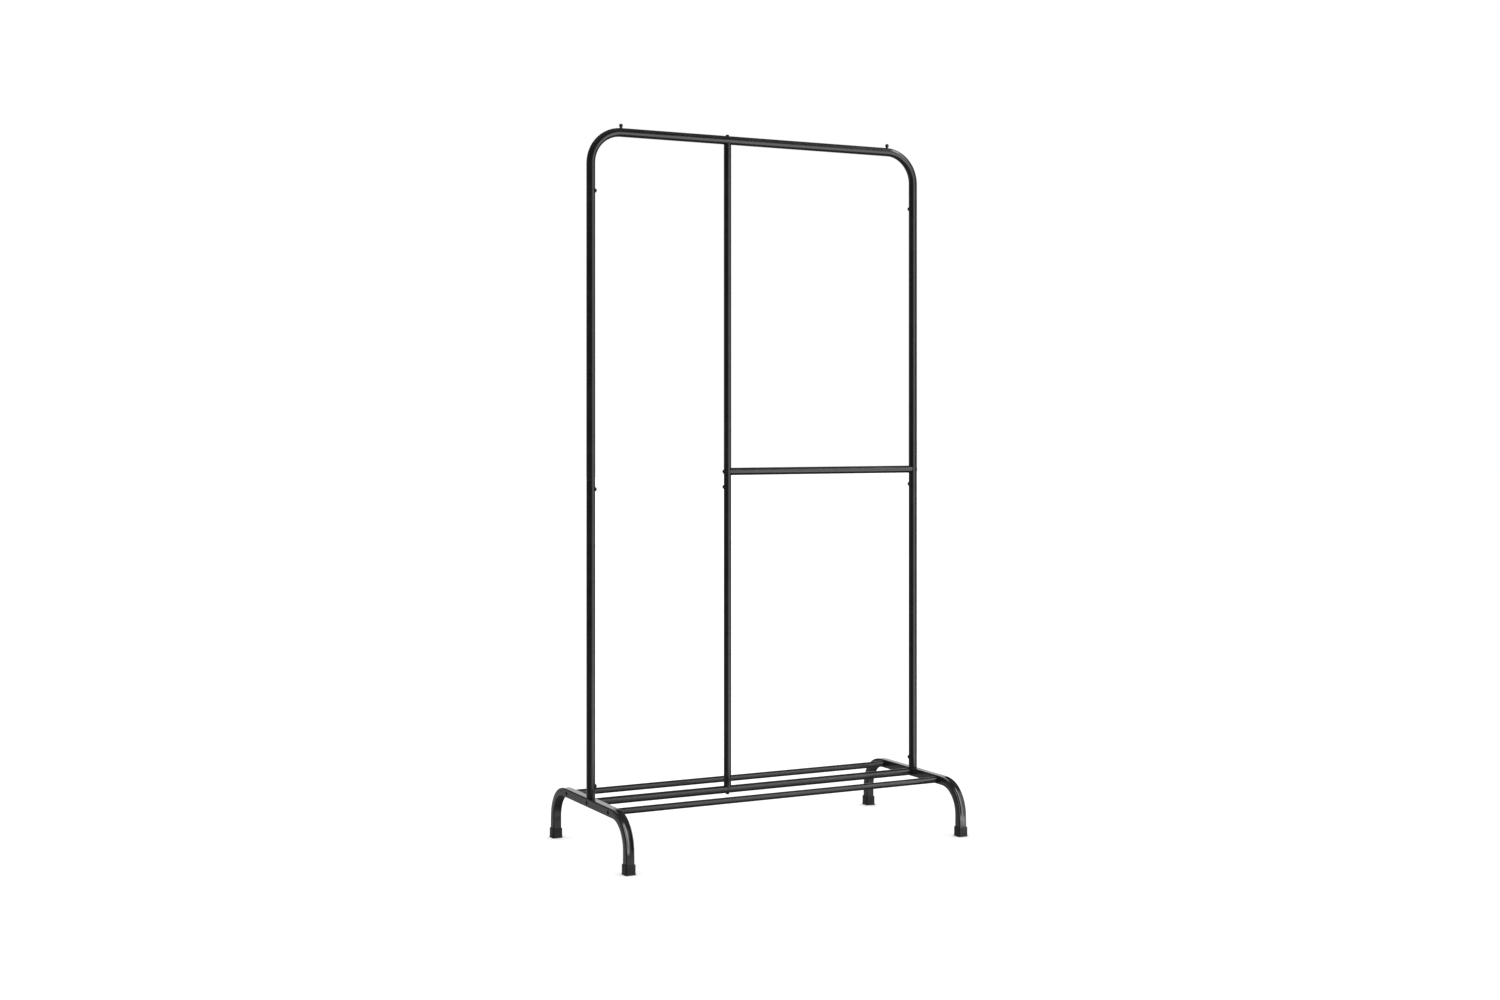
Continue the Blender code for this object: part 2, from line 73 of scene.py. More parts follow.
# ================================================================ materials
class Graph:
    """A small wrapper that keeps the node set-ups readable."""

    def __init__(self, name):
        self.mat = bpy.data.materials.new(name)
        self.mat.use_nodes = True
        self.tree = self.mat.node_tree
        self.bsdf = self.tree.nodes["Principled BSDF"]

    def node(self, kind, **settings):
        n = self.tree.nodes.new(kind)
        for key, value in settings.items():
            setattr(n, key, value)
        return n

    def link(self, a, b):
        self.tree.links.new(a, b)

    def coords(self, scale=(1, 1, 1)):
        tc = self.node("ShaderNodeTexCoord")
        mp = self.node("ShaderNodeMapping")
        mp.inputs["Scale"].default_value = scale
        self.link(tc.outputs["Object"], mp.inputs["Vector"])
        return mp.outputs["Vector"]

    def noise(self, vector, scale, detail=2.0, rough=0.5, distortion=0.0):
        n = self.node("ShaderNodeTexNoise")
        n.inputs["Scale"].default_value = scale
        n.inputs["Detail"].default_value = detail
        n.inputs["Roughness"].default_value = rough
        n.inputs["Distortion"].default_value = distortion
        self.link(vector, n.inputs["Vector"])
        return n.outputs["Fac"]

    def cells(self, vector, scale, smooth=0.6):
        n = self.node("ShaderNodeTexVoronoi", feature='SMOOTH_F1')
        n.inputs["Scale"].default_value = scale
        n.inputs["Smoothness"].default_value = smooth
        self.link(vector, n.inputs["Vector"])
        return n.outputs["Distance"]

    def remap(self, value, lo, hi, out_lo, out_hi, smooth=False):
        n = self.node("ShaderNodeMapRange")
        if smooth:
            n.interpolation_type = 'SMOOTHSTEP'
        n.inputs["From Min"].default_value = lo
        n.inputs["From Max"].default_value = hi
        n.inputs["To Min"].default_value = out_lo
        n.inputs["To Max"].default_value = out_hi
        self.link(value, n.inputs["Value"])
        return n.outputs["Result"]

    def mix(self, factor, a, b):
        n = self.node("ShaderNodeMix", data_type='RGBA')
        self.link(factor, n.inputs["Factor"])
        for socket, value in ((n.inputs[6], a), (n.inputs[7], b)):
            if isinstance(value, (tuple, list)):
                socket.default_value = (*value, 1.0)
            else:
                self.link(value, socket)
        return n.outputs[2]

    def math(self, op, a, b):
        n = self.node("ShaderNodeMath", operation=op)
        for socket, value in ((n.inputs[0], a), (n.inputs[1], b)):
            if isinstance(value, (int, float)):
                socket.default_value = value
            else:
                self.link(value, socket)
        return n.outputs[0]

    def attribute(self, name):
        n = self.node("ShaderNodeAttribute", attribute_name=name)
        return n.outputs["Fac"]

    def bump(self, height, strength, distance, after=None):
        n = self.node("ShaderNodeBump")
        n.inputs["Strength"].default_value = strength
        n.inputs["Distance"].default_value = distance
        self.link(height, n.inputs["Height"])
        if after is not None:
            self.link(after, n.inputs["Normal"])
        return n.outputs["Normal"]

    def out(self, **sockets):
        for key, value in sockets.items():
            socket = self.bsdf.inputs[key.replace("_", " ")]
            if isinstance(value, (int, float)):
                socket.default_value = value
            elif isinstance(value, tuple):
                socket.default_value = value if len(value) == len(socket.default_value) else (*value, 1.0)
            else:
                self.link(value, socket)
        return self.mat


def powder_coat(name, shift=0.0):
    """Semi-gloss black powder coat: fine orange peel, thin on the edges."""
    g = Graph(name)
    v = g.coords()
    broad = g.noise(v, 22.0 + shift, 3.0)
    peel = g.noise(v, 420.0 + shift * 10, 2.0, 0.55)
    fine = g.noise(v, 1500.0, 2.0, 0.6)
    specks = g.cells(v, 900.0)
    colour = g.mix(g.remap(broad, 0.35, 0.65, 0.0, 1.0), (0.0060, 0.0060, 0.0066), (0.0085, 0.0085, 0.0093))
    # thin coat on lips and corners shows a touch greyer
    worn = g.math('MULTIPLY', g.attribute("edge"), g.remap(peel, 0.45, 0.62, 0.15, 1.0))
    colour = g.mix(worn, colour, (0.022, 0.022, 0.024))
    rough = g.remap(g.math('ADD', g.math('MULTIPLY', broad, 0.6), g.math('MULTIPLY', peel, 0.4)),
                    0.35, 0.65, 0.150, 0.215)
    rough = g.math('ADD', rough, g.math('MULTIPLY', worn, 0.08))
    first = g.bump(peel, 0.11, 0.00012)
    second = g.bump(fine, 0.06, 0.00004, after=first)
    third = g.bump(specks, 0.025, 0.00005, after=second)
    return g.out(Base_Color=colour, Roughness=rough, Normal=third, Metallic=0.0, IOR=1.5,
                 Specular_IOR_Level=0.5)


def cap_plastic(name):
    """Moulded black plastic with a fine sparked texture and dusty lower edges."""
    g = Graph(name)
    v = g.coords()
    grain = g.noise(v, 2600.0, 3.0, 0.65)
    pits = g.cells(v, 1500.0, 0.4)
    broad = g.noise(v, 60.0, 3.0)
    tc = g.node("ShaderNodeTexCoord")
    sep = g.node("ShaderNodeSeparateXYZ")
    g.link(tc.outputs["Object"], sep.inputs[0])
    low = g.remap(sep.outputs["Z"], 0.0, 0.006, 1.0, 0.0, smooth=True)
    colour = g.mix(g.remap(broad, 0.35, 0.65, 0.0, 1.0), (0.0045, 0.0045, 0.0049), (0.0080, 0.0080, 0.0084))
    dust = g.math('MULTIPLY', low, g.remap(broad, 0.4, 0.7, 0.0, 0.45))
    colour = g.mix(dust, colour, (0.026, 0.025, 0.024))
    colour = g.mix(g.math('MULTIPLY', g.attribute("edge"), 0.5), colour, (0.022, 0.022, 0.023))
    rough = g.remap(grain, 0.35, 0.65, 0.42, 0.56)
    first = g.bump(grain, 0.30, 0.00006)
    second = g.bump(pits, 0.15, 0.00006, after=first)
    return g.out(Base_Color=colour, Roughness=rough, Normal=second, Metallic=0.0, IOR=1.47,
                 Specular_IOR_Level=0.33)


def peg_plastic(name):
    """Glossy black moulded plastic with faint flow marks."""
    g = Graph(name)
    v = g.coords()
    broad = g.noise(v, 300.0, 2.0)
    fine = g.noise(v, 1800.0, 2.0)
    colour = g.mix(broad, (0.0085, 0.0085, 0.009), (0.012, 0.012, 0.013))
    rough = g.remap(broad, 0.3, 0.7, 0.12, 0.20)
    return g.out(Base_Color=colour, Roughness=rough, Normal=g.bump(fine, 0.05, 0.00003), IOR=1.5)


def screw_black(name):
    """Black zinc on steel: darkened metal with fine turning marks."""
    g = Graph(name)
    v = g.coords()
    broad = g.noise(v, 260.0, 3.0)
    fine = g.noise(v, 2200.0, 2.0)
    colour = g.mix(g.remap(broad, 0.35, 0.65, 0.0, 1.0), (0.018, 0.018, 0.019), (0.032, 0.032, 0.034))
    colour = g.mix(g.math('MULTIPLY', g.attribute("edge"), 0.8), colour, (0.085, 0.085, 0.088))
    rough = g.remap(fine, 0.35, 0.65, 0.26, 0.38)
    return g.out(Base_Color=colour, Roughness=rough, Normal=g.bump(fine, 0.12, 0.00003), Metallic=0.75)


def zinc(name):
    """Bright zinc plating with a fine crystalline mottle."""
    g = Graph(name)
    v = g.coords()
    cell = g.cells(v, 500.0, 0.3)
    fine = g.noise(v, 1600.0, 2.0)
    colour = g.mix(g.remap(cell, 0.0, 0.8, 0.0, 1.0), (0.50, 0.51, 0.53), (0.62, 0.63, 0.64))
    rough = g.remap(fine, 0.3, 0.7, 0.26, 0.40)
    return g.out(Base_Color=colour, Roughness=rough, Normal=g.bump(fine, 0.1, 0.00003), Metallic=1.0)


COATS = [powder_coat(f"powder_coat_{i}", shift=1.7 * i) for i in range(4)]
CAP = cap_plastic("cap_plastic")
PEG = peg_plastic("peg_plastic")
SCREW = screw_black("black_screw")
ZINC = zinc("zinc_plating")


# ==================================================================== meshes
def skin(name, rings, material, replaces, closed=False, cap_start=False, cap_end=False,
         edge=(), sharp=None):
    """One mesh skinned over rings of equal length.  edge lists rings that carry the worn-edge mask."""
    n = len(rings[0])
    verts = [p for ring in rings for p in ring]
    faces = []
    last = len(rings) if closed else len(rings) - 1
    for i in range(last):
        a, b = i * n, ((i + 1) % len(rings)) * n
        for j in range(n):
            k = (j + 1) % n
            faces.append((a + j, a + k, b + k, b + j))
    if cap_start:
        faces.append(tuple(range(n))[::-1])
    if cap_end:
        faces.append(tuple(range((len(rings) - 1) * n, len(rings) * n)))
    mesh = bpy.data.meshes.new(name)
    mesh.from_pydata([tuple(v) for v in verts], [], faces)
    mask = mesh.attributes.new("edge", 'FLOAT', 'POINT')
    values = [0.0] * len(verts)
    for i in edge:
        for j in range(n):
            values[(i % len(rings)) * n + j] = 1.0
    mask.data.foreach_set("value", values)
    bm = bmesh.new()
    bm.from_mesh(mesh)
    bmesh.ops.remove_doubles(bm, verts=bm.verts[:], dist=1e-7)
    bmesh.ops.recalc_face_normals(bm, faces=bm.faces[:])
    bm.to_mesh(mesh)
    bm.free()
    mesh.shade_smooth()
    if sharp is not None:
        mesh.set_sharp_from_angle(angle=math.radians(sharp))
    mesh.materials.append(material)
    obj = bpy.data.objects.new(name, mesh)
    bpy.context.scene.collection.objects.link(obj)
    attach(obj, "root")
    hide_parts(*replaces)
    return obj


def turned_rings(origin, u, v, w, profile, sides):
    """Rings about the axis w.  Each profile entry is (radius, height) or (radius, height, seat),
    where seat(lateral_u, lateral_v) adds the height of a saddle cut."""
    rings = []
    for entry in profile:
        r, t = entry[0], entry[1]
        seat = entry[2] if len(entry) > 2 else None
        ring = []
        for i in range(sides):
            a = TAU * i / sides
            x, y = r * math.cos(a), r * math.sin(a)
            h = t + (seat(x, y) if seat else 0.0)
            ring.append(origin + u * x + v * y + w * h)
        rings.append(ring)
    return rings


def frame_for(w):
    """Two unit vectors across the axis w."""
    u = X if abs(w.dot(X)) < 0.9 else Z
    v = w.cross(u).normalized()
    return v.cross(w).normalized(), v


def lip(radius, bore, end, direction, rho=0.35 * MM, steps=4, seat=None):
    """Profile of a rounded tube end, from the outside in; direction is +1 for the upper end."""
    out = []
    for i in range(steps + 1):
        a = 0.5 * math.pi * i / steps
        out.append((radius - rho + rho * math.cos(a), end - direction * rho * (1 - math.sin(a)), seat))
    for i in range(steps + 1):
        a = 0.5 * math.pi * i / steps
        out.append((bore + rho - rho * math.sin(a), end - direction * rho * (1 - math.cos(a)), seat))
    return out


def spaced(a, b, step=0.06):
    n = max(1, int(abs(b - a) / step))
    return [a + (b - a) * i / n for i in range(1, n)]


def plain_tube(name, node, origin, w, radius, bore, low, high, material, sides=64,
               seat_low=None, seat_high=None, neck_low=None, neck_high=None):
    """A straight tube from low to high on the axis w through origin, with rounded lips.
    neck_* = (radius, bore, far end) adds a swaged neck."""
    u, v = frame_for(w)
    guard = 1.5 * MM
    outer, inner, edges = [], [], []

    def one_end(end, d, seat, neck):
        """Outer profile from the body to the end (d = +1 upper, -1 lower), then the bore back."""
        if neck is None:
            far = 3.0 * MM if seat is None else 14.0 * MM
            body = [(radius, end - d * far), (radius, end - d * guard, seat)]
            if seat is not None:
                body = [(radius, end - d * far), (radius, end - d * guard, seat)]
            rounded = lip(radius, bore, end, d, seat=seat)
            back = [(bore, end - d * guard, seat), (bore, end - d * far)]
            return body + rounded + back
        nr, nb, far_end = neck
        rho = 0.6 * MM
        pts = [(radius, end - d * 4 * MM), (radius, end - d * guard)]
        for i in range(6):
            a = 0.5 * math.pi * i / 5
            pts.append((radius - rho + rho * math.cos(a), end - d * rho * (1 - math.sin(a))))
        pts += [(nr + 0.25 * MM, end), (nr, end + d * 0.25 * MM), (nr, end + d * 2 * MM)]
        pts += [(nr, far_end - d * 1.2 * MM)]
        pts += lip(nr, nb, far_end, d, rho=0.3 * MM, steps=3)
        pts += [(nb, far_end - d * 2 * MM), (nb, end + d * 1.0 * MM), (nb + 0.2 * MM, end - d * 1.0 * MM),
                (bore - 0.2 * MM, end - d * 5 * MM), (bore, end - d * 7 * MM)]
        return pts

    top = one_end(high, 1, seat_high, neck_high)
    bottom = one_end(low, -1, seat_low, neck_low)[::-1]      # bore to outside
    profile = top + bottom
    # long walls get a few rings so that the coat's mask and normals stay even
    split = len(top)
    mids = [(bore, t) for t in spaced(top[-1][1], bottom[0][1])]
    profile = top + mids + bottom
    outs = [(radius, t) for t in spaced(bottom[-1][1], top[0][1])]
    profile += outs
    rings = turned_rings(origin, u, v, w, profile, sides)
    worn = [i for i in range(2, 2 + 5)] + [split + len(mids) + i for i in range(len(bottom) - 7, len(bottom) - 2)]
    return skin(name, rings, material, [node], closed=True, edge=worn)


# ---------------------------------------------------------------- top hoop
def hoop():
    """One bent tube: two short legs, two bends, the rail.  The bends go slightly oval."""
    sides, steps = 64, 40
    start = SEAM_TOP_Z + GAP / 2
    rise = RAIL_Z - BEND_R
    path = []                                   # (point, tangent, bend amount)
    for z in (start + 3 * MM, start + 30 * MM, rise - 12 * MM, rise - 3 * MM):
        path.append((Vector((-POST_X, 0, z)), Z.copy(), 0.0))
    for i in range(steps + 1):
        a = 0.5 * math.pi * i / steps
        c = Vector((-POST_X + BEND_R, 0, rise))
        p = c + Vector((-math.cos(a), 0, math.sin(a))) * BEND_R
        path.append((p, Vector((math.sin(a), 0, math.cos(a))), math.sin(math.pi * i / steps) ** 0.6 if 0 < i < steps else 0.0))
    half = POST_X - BEND_R
    for x in [-half + 3 * MM, -half + 12 * MM] + [half * (k / 8) for k in range(-7, 8)] + [half - 12 * MM, half - 3 * MM]:
        path.append((Vector((x, 0, RAIL_Z)), X.copy(), 0.0))
    for i in range(steps + 1):
        a = 0.5 * math.pi * i / steps
        c = Vector((POST_X - BEND_R, 0, rise))
        p = c + Vector((math.sin(a), 0, math.cos(a))) * BEND_R
        path.append((p, Vector((math.cos(a), 0, -math.sin(a))), math.sin(math.pi * i / steps) ** 0.6 if 0 < i < steps else 0.0))
    for z in (rise - 3 * MM, rise - 12 * MM, start + 30 * MM, start + 3 * MM):
        path.append((Vector((POST_X, 0, z)), -Z, 0.0))

    def ring(p, t, r, oval, shift=0.0):
        n = t.cross(Y).normalized()             # points away from the bend centre or up
        if n.dot(Vector((p.x, 0, p.z - 1.2))) < 0:
            n = -n
        out = []
        for i in range(sides):
            a = TAU * i / sides
            cu, cv = math.cos(a), math.sin(a)
            ru = r * (1 - (0.045 if cu > 0 else 0.02) * oval)
            rv = r * (1 + 0.018 * oval)
            out.append(p + n * (ru * cu) + Y * (rv * cv) + t * shift)
        return out

    rings = []
    edges = []
    bore = 0.010
    rho = 0.35 * MM

    def end_rings(x, t, steps=4):
        """Rounded end, from the outer wall round to the bore."""
        base = Vector((x, 0, start))
        out = []
        for i in range(steps + 1):
            a = 0.5 * math.pi * i / steps
            out.append(ring(base + Z * (rho * (1 - math.sin(a))), t, POST_R - rho + rho * math.cos(a), 0))
        for i in range(steps + 1):
            a = 0.5 * math.pi * i / steps
            out.append(ring(base + Z * (rho * (1 - math.cos(a))), t, bore + rho - rho * math.sin(a), 0))
        return out

    left = end_rings(-POST_X, Z.copy())[::-1]
    rings += [ring(Vector((-POST_X, 0, start + 2 * MM)), Z.copy(), bore, 0)]
    rings += left
    edges += list(range(7, 12))
    rings += [ring(Vector((-POST_X, 0, start + 1.2 * MM)), Z.copy(), POST_R, 0)]
    for p, t, b in path:
        rings.append(ring(p, t, POST_R, b))
    rings += [ring(Vector((POST_X, 0, start + 1.2 * MM)), -Z, POST_R, 0)]
    first = len(rings)
    rings += end_rings(POST_X, -Z)
    edges += list(range(first, first + 5))
    rings += [ring(Vector((POST_X, 0, start + 2 * MM)), -Z, bore, 0)]
    for p, t, b in path[::-1]:
        rings.append(ring(p, t, bore, b))
    return skin("hoop_fine", rings, COATS[0], ["top_hoop"], closed=True, edge=edges)


hoop()

# -------------------------------------------------------------- side posts
for side, x in (("left", -POST_X), ("right", POST_X)):
    base = Vector((x, 0, 0))
    plain_tube(f"upper_post_{side}_fine", f"upper_post_{side}", base, Z, POST_R, 0.010,
               SEAM_MID_Z + GAP / 2, SEAM_TOP_Z - GAP / 2, COATS[1],
               neck_low=(0.0097, 0.0087, SEAM_MID_Z - 0.045), neck_high=(0.0097, 0.0087, SEAM_TOP_Z + 0.045))
    plain_tube(f"lower_post_{side}_fine", f"lower_post_{side}", base, Z, POST_R, 0.010,
               LEG_TOP_Z + GAP, SEAM_MID_Z - GAP / 2, COATS[2])

# ------------------------------------------------------------- centre post
base = Vector((CENTRE_X, 0, 0))


def saddle(radius, lateral):
    """Depth of a saddle cut: how far the wall runs on past the crown of the tube it sits on."""
    def depth(x, y):
        w = x if lateral == "u" else y
        return radius - math.sqrt(max(0.0, radius * radius - w * w))
    return depth


def rise_saddle(radius, lateral):
    return saddle(radius, lateral)


def fall_saddle(radius, lateral):
    f = saddle(radius, lateral)
    return lambda x, y: -f(x, y)


# frame_for(Z) gives u along X and v along Y, so a tube along X is saddled across v
plain_tube("centre_post_upper_fine", "centre_post_upper", base, Z, MID_R, 0.0085,
           SEAM_MID_Z + GAP / 2, RAIL_Z - POST_R - GAP, COATS[3],
           neck_low=(0.0082, 0.0072, SEAM_MID_Z - 0.040), seat_high=rise_saddle(POST_R + GAP, "v"))
plain_tube("centre_post_lower_fine", "centre_post_lower", base, Z, MID_R, 0.0085,
           SHELF_Z + MID_R + GAP, SEAM_MID_Z - GAP / 2, COATS[1],
           seat_low=fall_saddle(MID_R + GAP, "v"))

# ------------------------------------------------------------- middle rail
u_axis, v_axis = frame_for(X)
lateral = "u" if abs(u_axis.dot(Y)) > 0.5 else "v"
plain_tube("mid_rail_fine", "mid_rail", Vector((0, 0, MID_RAIL_Z)), X, MID_R, 0.0085,
           CENTRE_X + MID_R + GAP, POST_X - POST_R - GAP, COATS[2],
           seat_low=fall_saddle(MID_R + GAP, lateral), seat_high=rise_saddle(POST_R + GAP, lateral))

# -------------------------------------------------------------- shelf bars
for tag, y, r, bore, coat in (("front", -PITCH, BAR_R, 0.007, 0), ("middle", 0.0, MID_R, 0.0085, 3),
                              ("rear", PITCH, BAR_R, 0.007, 1)):
    plain_tube(f"shelf_bar_{tag}_fine", f"shelf_bar_{tag}", Vector((0, y, SHELF_Z)), X, r, bore,
               -BAR_END, BAR_END, COATS[coat])


# ---------------------------------------------------------------- end legs
def leg_section(side, corner, amount, per_corner=8, per_side=14):
    """Rounded square in (lateral, outward).  amount 0 to 1 is how far the bend has drawn the wall in."""
    half = side / 2 - corner
    points = []
    for q, (cu, cv) in enumerate(((half, half), (-half, half), (-half, -half), (half, -half))):
        for i in range(per_corner + 1):
            a = 0.5 * math.pi * (q + i / per_corner)
            points.append((cu + corner * math.cos(a), cv + corner * math.sin(a)))
        # straight run to the next corner
        a = 0.5 * math.pi * (q + 1)
        nu, nv = ((-half, half), (-half, -half), (half, -half), (half, half))[q]
        start = points[-1]
        end = (nu + corner * math.cos(a), nv + corner * math.sin(a))
        for i in range(1, per_side):
            t = i / per_side
            points.append((start[0] + (end[0] - start[0]) * t, start[1] + (end[1] - start[1]) * t))
    out = []
    h = side / 2
    for u, v in points:
        dish_u = max(0.0, 1 - (u / (0.86 * h)) ** 2) ** 1.5
        dish_v = max(0.0, 1 - (v / (0.90 * h)) ** 2) ** 1.5
        up = max(0.0, v / h)
        down = max(0.0, -v / h)
        dv = -1.75 * MM * dish_u * up ** 6 - 1.15 * MM * up      # outer wall sinks
        dv += 0.95 * MM * dish_u * down ** 6                      # inner wall draws in
        swell = 0.42 * dish_v + 0.16 * math.cos(2.6 * math.pi * v / h) * max(0.0, 1 - (v / h) ** 2)
        du = math.copysign(1, u) * swell * MM * (abs(u) / h) ** 6             # side walls swell and ripple
        out.append((u + du * amount, v + dv * amount))
    return out


def ease(t):
    t = min(1.0, max(0.0, t))
    return t * t * (3 - 2 * t)


def end_leg(side, x):
    """One square tube bent down at both ends."""
    bottom = 0.0043
    rise = SHELF_Z - LEG_BEND_R
    steps = 44
    stations = []                     # point, outward, tangent, draw-in
    for z, b in ((bottom, 0), (bottom + 2 * MM, 0), (0.020, 0), (0.032, 0.0), (0.038, 0.0), (0.042, 0.03), (0.046, 0.16), (0.050, 0.42)):
        stations.append((Vector((x, -FOOT_Y, z)), -Y, Z.copy(), b))
    for i in range(steps + 1):
        a = 0.5 * math.pi * i / steps
        c = Vector((x, -FOOT_Y + LEG_BEND_R, rise))
        out = Vector((0, -math.cos(a), math.sin(a)))
        tan = Vector((0, math.sin(a), math.cos(a)))
        s = i / steps
        b = min(ease((s + 0.17) / 0.27), ease((1.10 - s) / 0.26))
        stations.append((c + out * LEG_BEND_R, out, tan, b))
    flat = FOOT_Y - LEG_BEND_R
    for y, b in ((-flat + 6 * MM, 0.24), (-flat + 12 * MM, 0.05), (-flat + 20 * MM, 0.0), (-0.09, 0), (-0.04, 0),
                 (0.0, 0), (0.04, 0), (0.09, 0), (flat - 20 * MM, 0.0), (flat - 12 * MM, 0.05), (flat - 6 * MM, 0.24)):
        stations.append((Vector((x, y, SHELF_Z)), Z.copy(), Y.copy(), b))
    for i in range(steps + 1):
        a = 0.5 * math.pi * i / steps
        c = Vector((x, FOOT_Y - LEG_BEND_R, rise))
        out = Vector((0, math.sin(a), math.cos(a)))
        tan = Vector((0, math.cos(a), -math.sin(a)))
        s = 1 - i / steps
        b = min(ease((s + 0.17) / 0.27), ease((1.10 - s) / 0.26))
        stations.append((c + out * LEG_BEND_R, out, tan, b))
    for z, b in ((0.050, 0.42), (0.046, 0.16), (0.042, 0.03), (0.038, 0.0), (0.032, 0.0), (0.020, 0), (bottom + 2 * MM, 0), (bottom, 0)):
        stations.append((Vector((x, FOOT_Y, z)), Y.copy(), -Z, b))
    wall = 1.2 * MM
    outer = [[p + X * u + o * v for u, v in leg_section(LEG_W, 3.0 * MM, b)] for p, o, t, b in stations]
    inner = [[p + X * u + o * v for u, v in leg_section(LEG_W - 2 * wall, 1.8 * MM, b)]
             for p, o, t, b in stations]
    leg = skin(f"end_leg_{side}_fine", outer + inner[::-1], COATS[0 if side == "left" else 2],
               [f"end_leg_{side}"], closed=True)
    # worn-edge mask on the corners of the outside
    mask = leg.data.attributes["edge"]
    lo = {}
    for i, vert in enumerate(leg.data.vertices):
        if abs(abs(vert.co.x - x) - LEG_W / 2) < 1.2 * MM:
            flat_x = abs(abs(vert.co.x - x) - LEG_W / 2) < 0.9 * MM
            near_top = abs(vert.co.z - LEG_TOP_Z) < 1.0 * MM or abs(vert.co.z - (LEG_TOP_Z - LEG_W)) < 1.0 * MM
            if near_top and flat_x:
                mask.data[i].value = 0.6
    # holes: wide outside for the screw head, clearance on the bar side
    outward = -1 if x < 0 else 1
    cutters = []
    for y in (-PITCH, 0.0, PITCH):
        for r, reach in ((5.0 * MM, outward), (3.3 * MM, -outward)):
            bm = bmesh.new()
            bmesh.ops.create_cone(bm, cap_ends=True, segments=48, radius1=r, radius2=r, depth=10 * MM)
            bmesh.ops.rotate(bm, cent=(0, 0, 0), verts=bm.verts[:],
                             matrix=Vector((0, 0, 1)).rotation_difference(X).to_matrix())
            bmesh.ops.translate(bm, verts=bm.verts[:], vec=(x + reach * 11 * MM, y, SHELF_Z))
            me = bpy.data.meshes.new("hole")
            bm.to_mesh(me)
            bm.free()
            cutters.append(me)
    tool = bpy.data.objects.new("hole_tool", cutters[0])
    bpy.context.scene.collection.objects.link(tool)
    for me in cutters:
        tool.data = me
        mod = leg.modifiers.new("hole", 'BOOLEAN')
        mod.operation = 'DIFFERENCE'
        mod.solver = 'EXACT'
        mod.object = tool
        bpy.context.view_layer.update()
        graph = bpy.context.evaluated_depsgraph_get()
        made = bpy.data.meshes.new_from_object(leg.evaluated_get(graph))
        leg.modifiers.clear()
        made.name = leg.data.name
        leg.data = made
    bpy.data.objects.remove(tool, do_unlink=True)
    leg.data.shade_smooth()
    leg.data.set_sharp_from_angle(angle=math.radians(40))
    if not leg.data.materials:
        leg.data.materials.append(COATS[0])
    return leg


end_leg("left", -POST_X)
end_leg("right", POST_X)


# --------------------------------------------------------------- foot caps
def rounded(side, corner, z, per_corner=10, per_side=6, cx=0.0, cy=0.0):
    half = side / 2 - corner
    pts = []
    for q, (ux, uy) in enumerate(((half, half), (-half, half), (-half, -half), (half, -half))):
        for i in range(per_corner + 1):
            a = 0.5 * math.pi * (q + i / per_corner)
            pts.append((ux + corner * math.cos(a), uy + corner * math.sin(a)))
        a = 0.5 * math.pi * (q + 1)
        nx, ny = ((-half, half), (-half, -half), (half, -half), (half, half))[q]
        s, e = pts[-1], (nx + corner * math.cos(a), ny + corner * math.sin(a))
        for i in range(1, per_side):
            pts.append((s[0] + (e[0] - s[0]) * i / per_side, s[1] + (e[1] - s[1]) * i / per_side))
    return [Vector((cx + px, cy + py, z)) for px, py in pts]


CAP_PROFILE = (            # side (mm), corner (mm), height (mm)
    (8.0, 2.0, 0.0), (20.0, 2.4, 0.0), (26.2, 3.3, 0.0), (27.0, 3.6, 0.0), (27.55, 3.9, 0.10), (27.9, 4.05, 0.30),
    (28.1, 4.15, 0.60), (28.15, 4.2, 1.0), (28.05, 4.15, 1.4), (27.8, 4.05, 1.7), (27.3, 3.85, 1.95),
    (26.7, 3.6, 2.15), (26.1, 3.4, 2.35), (25.85, 3.35, 2.55), (25.95, 3.4, 2.85), (26.1, 3.4, 3.2),
    (26.15, 3.4, 6.0), (26.2, 3.4, 14.0), (26.2, 3.4, 20.0), (26.2, 3.4, 22.7),
    (26.1, 3.4, 23.2), (25.9, 3.35, 23.6), (25.55, 3.3, 23.9), (25.0, 3.2, 24.0), (24.2, 3.2, 23.95),
    (23.3, 3.2, 23.75), (22.8, 3.25, 23.35), (22.6, 3.3, 22.8), (22.6, 3.3, 12.0), (22.6, 3.3, 4.4), (22.2, 3.1, 4.05),
    (21.6, 3.0, 4.0), (8.0, 2.0, 4.0))

for side, x in (("left", -POST_X), ("right", POST_X)):
    for tag, y in (("front", -FOOT_Y), ("rear", FOOT_Y)):
        rings = [rounded(s * MM, c * MM, h * MM, cx=x, cy=y) for s, c, h in CAP_PROFILE]
        skin(f"foot_cap_{side}_{tag}_fine", rings, CAP, [f"foot_cap_{side}_{tag}"],
             cap_start=True, cap_end=True, edge=[6, 7, 8, 20, 21, 22], sharp=60)


